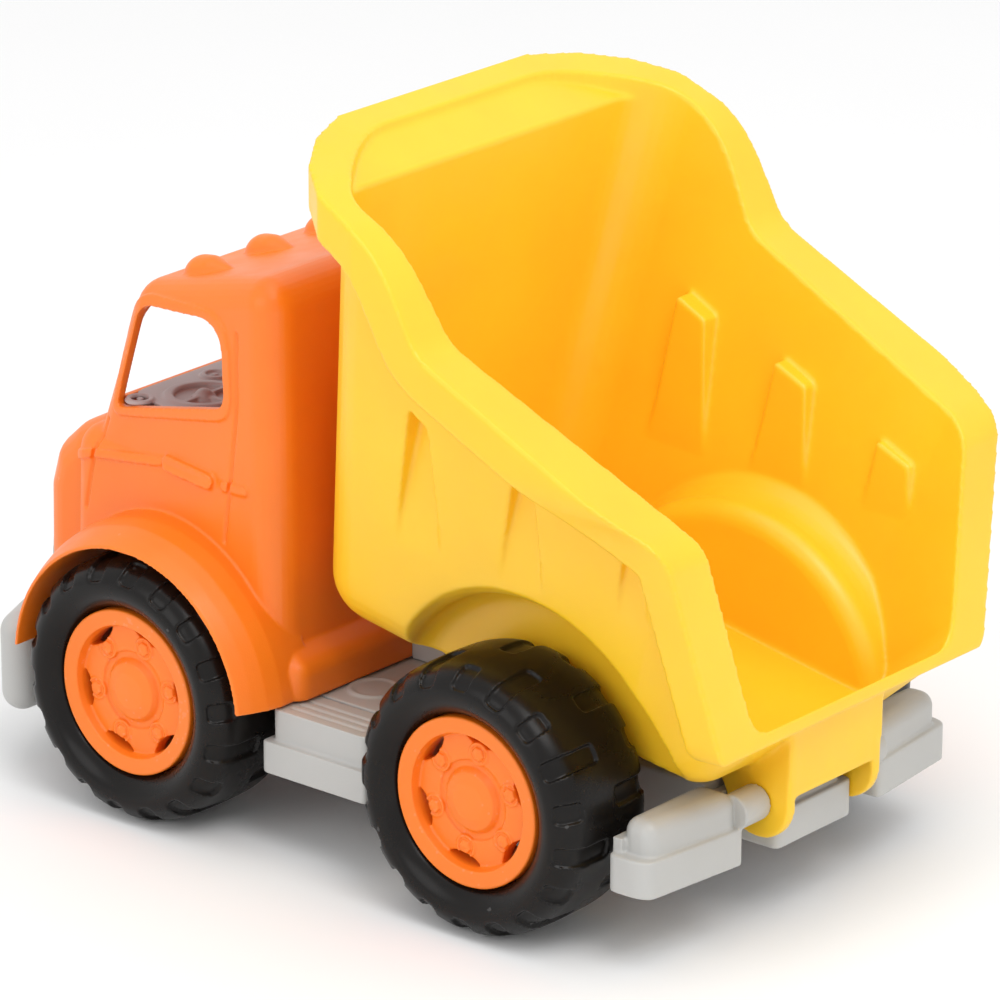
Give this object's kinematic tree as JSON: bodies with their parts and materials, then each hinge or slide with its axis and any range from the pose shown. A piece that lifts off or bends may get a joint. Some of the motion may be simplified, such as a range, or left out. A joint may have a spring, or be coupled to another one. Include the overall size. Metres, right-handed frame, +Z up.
{
  "type": "toy dump truck",
  "caption": "Chunky moulded plastic toy dump truck with a rounded cab, a rear-hinged tipping bed with a flanged rim and canopy, and wide lugged wheels on steel axles.",
  "frame": {"origin": "on the ground under the middle of the truck's length and width", "axes": "+X forward to the front bumper, +Y to the truck's left, +Z up"},
  "size_m": [0.32, 0.186, 0.2454],
  "materials": {
    "orange_plastic": "satin moulded",
    "yellow_plastic": "satin moulded",
    "grey_plastic": "satin moulded",
    "dash_plastic": "matte moulded",
    "tyre_plastic": "semi-gloss moulded",
    "steel": "drawn wire"
  },
  "bodies": {
    "chassis": {"chassis_frame": "grey_plastic", "belly_pan": "dash_plastic", "front_bumper": "grey_plastic", "rear_bumper": "grey_plastic", "side_step_left": "grey_plastic", "side_step_right": "grey_plastic", "deck_cover": "grey_plastic", "vent_block": "grey_plastic", "cab_shell": "orange_plastic", "dashboard": "dash_plastic", "grille": "grey_plastic", "hinge_pin": "steel", "pan_screw_1": "steel", "pan_screw_2": "steel", "pan_screw_3": "steel", "pan_screw_4": "steel"},
    "bed": {"dump_bed": "yellow_plastic"},
    "rear_wheels": {"rear_axle": "steel", "rear_left_tyre": "tyre_plastic", "rear_left_hub": "orange_plastic", "rear_right_tyre": "tyre_plastic", "rear_right_hub": "orange_plastic"},
    "front_wheels": {"front_axle": "steel", "front_left_tyre": "tyre_plastic", "front_left_hub": "orange_plastic", "front_right_tyre": "tyre_plastic", "front_right_hub": "orange_plastic"}
  },
  "joints": [
    {"name": "bed_tip", "type": "hinge", "parent": "chassis", "child": "bed", "pos_m": [-0.1395, 0, 0.044], "axis": [0, -1, 0], "range_deg": [0, 50]},
    {"name": "rear_axle_spin", "type": "hinge", "parent": "chassis", "child": "rear_wheels", "pos_m": [-0.073, 0, 0.0457], "axis": [0, 1, 0], "continuous": true},
    {"name": "front_axle_spin", "type": "hinge", "parent": "chassis", "child": "front_wheels", "pos_m": [0.0735, 0, 0.0457], "axis": [0, 1, 0], "continuous": true}
  ]
}
